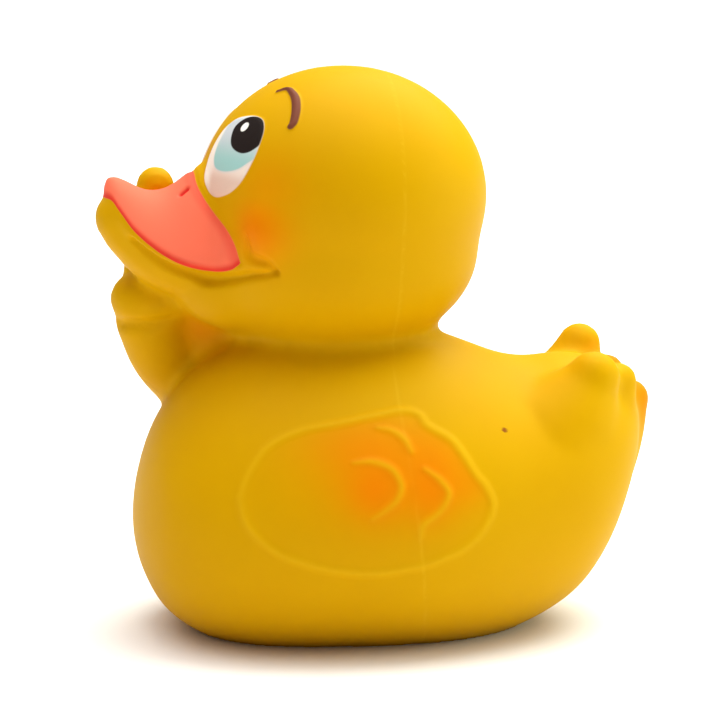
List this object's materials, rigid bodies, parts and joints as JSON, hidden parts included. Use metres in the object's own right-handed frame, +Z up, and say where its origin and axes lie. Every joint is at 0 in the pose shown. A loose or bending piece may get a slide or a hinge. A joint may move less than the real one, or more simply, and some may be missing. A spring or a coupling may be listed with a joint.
{
  "type": "rubber duck",
  "caption": "Hollow moulded rubber bath duck standing on a flat base, one wing raised to its chin, with a squeaker set in the underside.",
  "frame": {"origin": "on the ground, under the middle of the duck's bounding box", "axes": "+Z up, the bill points along -Y, the tail along +Y, the duck's left side is +X"},
  "size_m": [0.0679, 0.0919, 0.0926],
  "materials": {
    "rubber": "satin",
    "squeaker_plastic": "gloss"
  },
  "bodies": {
    "root": {"duck_body": "rubber", "squeaker": "squeaker_plastic"}
  },
  "joints": []
}
